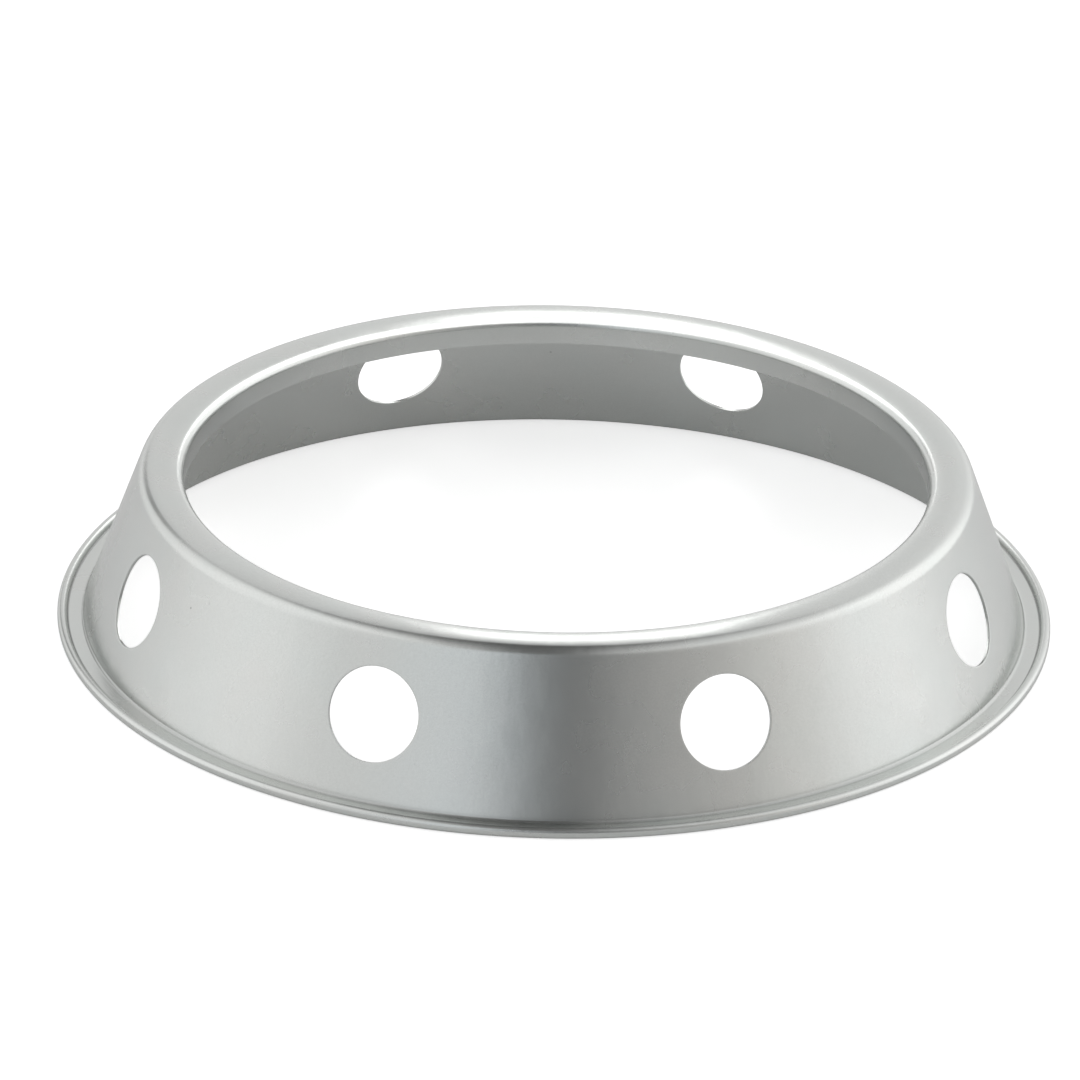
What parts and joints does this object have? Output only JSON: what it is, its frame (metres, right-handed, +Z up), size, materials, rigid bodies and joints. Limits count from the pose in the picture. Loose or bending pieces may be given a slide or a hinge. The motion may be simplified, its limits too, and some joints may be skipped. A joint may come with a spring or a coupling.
{
  "type": "wok ring",
  "caption": "Low conical sheet-steel ring that steadies a round-bottomed wok over a burner, with a turned-down seat, punched vent holes and a rolled foot edge.",
  "frame": {"origin": "on the ring's axis, at the level of the rolled edge's underside, where it stands on the table", "axes": "+Z up along the ring's axis, from the wide rolled foot to the narrow seat; -Y midway between two vent holes, as +X, +Y and -X are"},
  "size_m": [0.26, 0.26, 0.0426],
  "materials": {
    "plated_steel": "satin, bright zinc plated"
  },
  "bodies": {
    "root": {"wok_ring": "plated_steel"}
  },
  "joints": []
}
